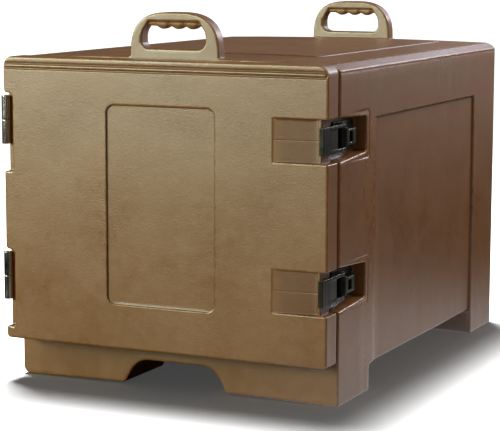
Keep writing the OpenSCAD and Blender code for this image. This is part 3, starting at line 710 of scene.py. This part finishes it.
BROWN = (0.206, 0.089, 0.025)
skin = moulded("Moulded_Polyethylene", BROWN, (0.186, 0.078, 0.020), (0.227, 0.102, 0.032))
steel_h = metal_mat("Hinge_Steel", (0.62, 0.61, 0.58), 0.16)
steel_f = metal_mat("Fastener_Steel", (0.55, 0.54, 0.52), 0.28)
brass_m = metal_mat("Insert_Brass", (0.60, 0.42, 0.16), 0.30)
nylon_m, rubber_m, foam_m = nylon_mat(), rubber_mat(), foam_mat()
for o in (body_o, door_o):
    put(o, skin)
put(gasket_o, rubber_m)
for o in levers + bases:
    put(o, nylon_m)
for o in leaves:
    put(o, steel_h)
for n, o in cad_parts.items():
    if "foam" in n:
        put(o, foam_m)
    elif "insert" in n or "washer" in n:
        put(o, brass_m)
    elif "screw" in n or "pin" in n:
        put(o, steel_f)
    elif "plug" in n or "shell" in n:
        put(o, skin)
    elif "gasket" in n:
        put(o, rubber_m)
    elif "latch" in n:
        put(o, nylon_m)
    else:
        put(o, steel_h)

# ------------------------------------------------------------------ camera, floor and light

scene = bpy.context.scene
cam_d = bpy.data.cameras.new("Camera")
cam = bpy.data.objects.new("Camera", cam_d)
scene.collection.objects.link(cam)
yaw, pitch, roll = 0.436221, 0.139289, 0.002620
fwd = Vector((-math.sin(yaw) * math.cos(pitch), math.cos(yaw) * math.cos(pitch), -math.sin(pitch)))
right = Vector((math.cos(yaw), math.sin(yaw), 0))
up = right.cross(fwd)
r2 = math.cos(roll) * right + math.sin(roll) * up
u2 = -math.sin(roll) * right + math.cos(roll) * up
M = Matrix((r2, u2, -fwd)).transposed().to_4x4()
M.translation = Vector((1.39899, -3.07109, 0.71444))
cam.matrix_world = M
cam_d.sensor_width = 36
cam_d.lens = 136.6960
cam_d.clip_end = 100
scene.camera = cam

# a round white floor with its own overhead lamp; what it throws back at the object is kept low, but glossy rays see it
# glow beside the object's right side, fading with distance: a painted reflection of lit floor
R, N = 4.0, 96
floor_m = bpy.data.meshes.new("Floor")
floor_m.from_pydata([(R * math.cos(2 * math.pi * i / N), R * math.sin(2 * math.pi * i / N), 0) for i in range(N)], [], [tuple(range(N))])
floor = bpy.data.objects.new("Floor", floor_m)
floor.location.z = -0.0005
scene.collection.objects.link(floor)
fm = bpy.data.materials.new("Floor_White")
fm.use_nodes = True
nt = fm.node_tree
nt.nodes.clear()
out = nt.nodes.new("ShaderNodeOutputMaterial")
lp, mx = nt.nodes.new("ShaderNodeLightPath"), nt.nodes.new("ShaderNodeMixShader")
near, seen = nt.nodes.new("ShaderNodeBsdfDiffuse"), nt.nodes.new("ShaderNodeBsdfDiffuse")
near.inputs["Color"].default_value = (0.10, 0.10, 0.10, 1)
seen.inputs["Color"].default_value = (0.54, 0.61, 0.68, 1)
grey, plus = nt.nodes.new("ShaderNodeEmission"), nt.nodes.new("ShaderNodeAddShader")
grey.inputs["Strength"].default_value = 0.050
nt.links.new(seen.outputs[0], plus.inputs[0])
nt.links.new(grey.outputs[0], plus.inputs[1])
geo, sep = nt.nodes.new("ShaderNodeNewGeometry"), nt.nodes.new("ShaderNodeSeparateXYZ")
nt.links.new(geo.outputs["Position"], sep.inputs[0])
far = math_(nt, "POWER", math_(nt, "ADD", math_(nt, "MULTIPLY", sep.outputs[0], sep.outputs[0]), math_(nt, "MULTIPLY", sep.outputs[1], sep.outputs[1])), 0.5)
# painted reflection: the floor glows to glossy rays near the object's right side, fading with distance
lit = math_(nt, "MULTIPLY", mapr(nt, far, 0.5, 1.15, 0.68, 0.03), mapr(nt, sep.outputs[0], 0.0, 0.30, 0.0, 1.0))
floor_glow_right, mg = nt.nodes.new("ShaderNodeEmission"), nt.nodes.new("ShaderNodeMixShader")
nt.links.new(lit, floor_glow_right.inputs["Strength"])
nt.links.new(lp.outputs["Is Glossy Ray"], mg.inputs[0])
nt.links.new(near.outputs[0], mg.inputs[1])
nt.links.new(floor_glow_right.outputs[0], mg.inputs[2])
nt.links.new(lp.outputs["Is Camera Ray"], mx.inputs[0])
nt.links.new(mg.outputs[0], mx.inputs[1])
nt.links.new(plus.outputs[0], mx.inputs[2])
nt.links.new(mx.outputs[0], out.inputs[0])
put(floor, fm)


def area(name, loc, target, size, size_y, power, color=(1, 1, 1)):
    l = bpy.data.lights.new(name, "AREA")
    l.shape = "RECTANGLE"
    l.size, l.size_y = size, size_y
    l.energy = power
    l.color = color
    o = bpy.data.objects.new(name, l)
    scene.collection.objects.link(o)
    o.location = loc
    o.rotation_euler = (Vector(target) - Vector(loc)).to_track_quat("-Z", "Y").to_euler()
    o.visible_camera = False
    return o


def lights_only(o, state):
    """The lamp lights the floor alone (INCLUDE), or everything but the floor (EXCLUDE)."""
    c = bpy.data.collections.new("Lit_" + o.name)
    c.objects.link(floor)
    c.collection_objects[0].light_linking.link_state = state
    o.light_linking.receiver_collection = c


lights_only(area("Floor_Lamp", (-0.7, 0.66, 4.4), (0, 0, 0), 1.5, 1.0, 960, (1.0, 0.885, 0.794)), "INCLUDE")
for spec in (("Front", (-2.55, -4.0, 1.32), (0, -0.4, 0.4), 3.1, 1.4, 168, (0.93, 1.06, 0.80)),
             ("Key", (-3.0, -2.3, 1.9), (0, -0.4, 0.40), 1.6, 1.4, 45, (1.0, 0.83, 0.44)),
             ("Strip", (1.0, -3.6, 0.95), (0.1, -0.4, 0.4), 0.35, 1.5, 3.5, (1.0, 1.0, 0.9)),
             ("Back", (0.45, 3.4, 1.85), (0.1, 0.2, 0.5), 1.5, 0.9, 9, (1.0, 1.04, 1.22)),
             ("Horizon", (-0.45, 3.3, 0.95), (0.1, 0.0, 0.55), 0.9, 0.45, 0.6, (1.0, 0.98, 1.0)),
             ("Side_Back", (1.95, 3.5, 0.55), (0.3, 0.2, 0.3), 1.1, 0.8, 2.5, (1.0, 0.98, 1.0)),
             ("Edge", (1.75, 3.4, 1.8), (0.28, -0.3, 0.4), 0.5, 0.5, 26, (1.0, 1.02, 1.10)),
             ("Over_Back", (0.2, 1.6, 2.6), (0, 0, 0.5), 2.5, 1.0, 9, (1.0, 0.92, 0.84)),
             ("Over_Right", (1.6, 0.6, 2.6), (0, 0, 0.5), 1.2, 2.0, 43, (1.0, 0.86, 0.79))):
    lights_only(area(*spec), "EXCLUDE")

w = bpy.data.worlds.new("World")
scene.world = w
w.use_nodes = True
nt = w.node_tree
nt.nodes.clear()
bg1, bg2 = nt.nodes.new("ShaderNodeBackground"), nt.nodes.new("ShaderNodeBackground")
lp, mx, wo = nt.nodes.new("ShaderNodeLightPath"), nt.nodes.new("ShaderNodeMixShader"), nt.nodes.new("ShaderNodeOutputWorld")
bg1.inputs[0].default_value = (1.0, 0.88, 0.78, 1)
bg1.inputs[1].default_value = 0.11
bg2.inputs[0].default_value = (1, 1, 1, 1)
bg2.inputs[1].default_value = 1.2
nt.links.new(lp.outputs["Is Camera Ray"], mx.inputs[0])
nt.links.new(bg1.outputs[0], mx.inputs[1])
nt.links.new(bg2.outputs[0], mx.inputs[2])
nt.links.new(mx.outputs[0], wo.inputs[0])
scene.view_settings.view_transform = "Standard"
scene.view_settings.look = "None"

bpy.context.view_layer.update()
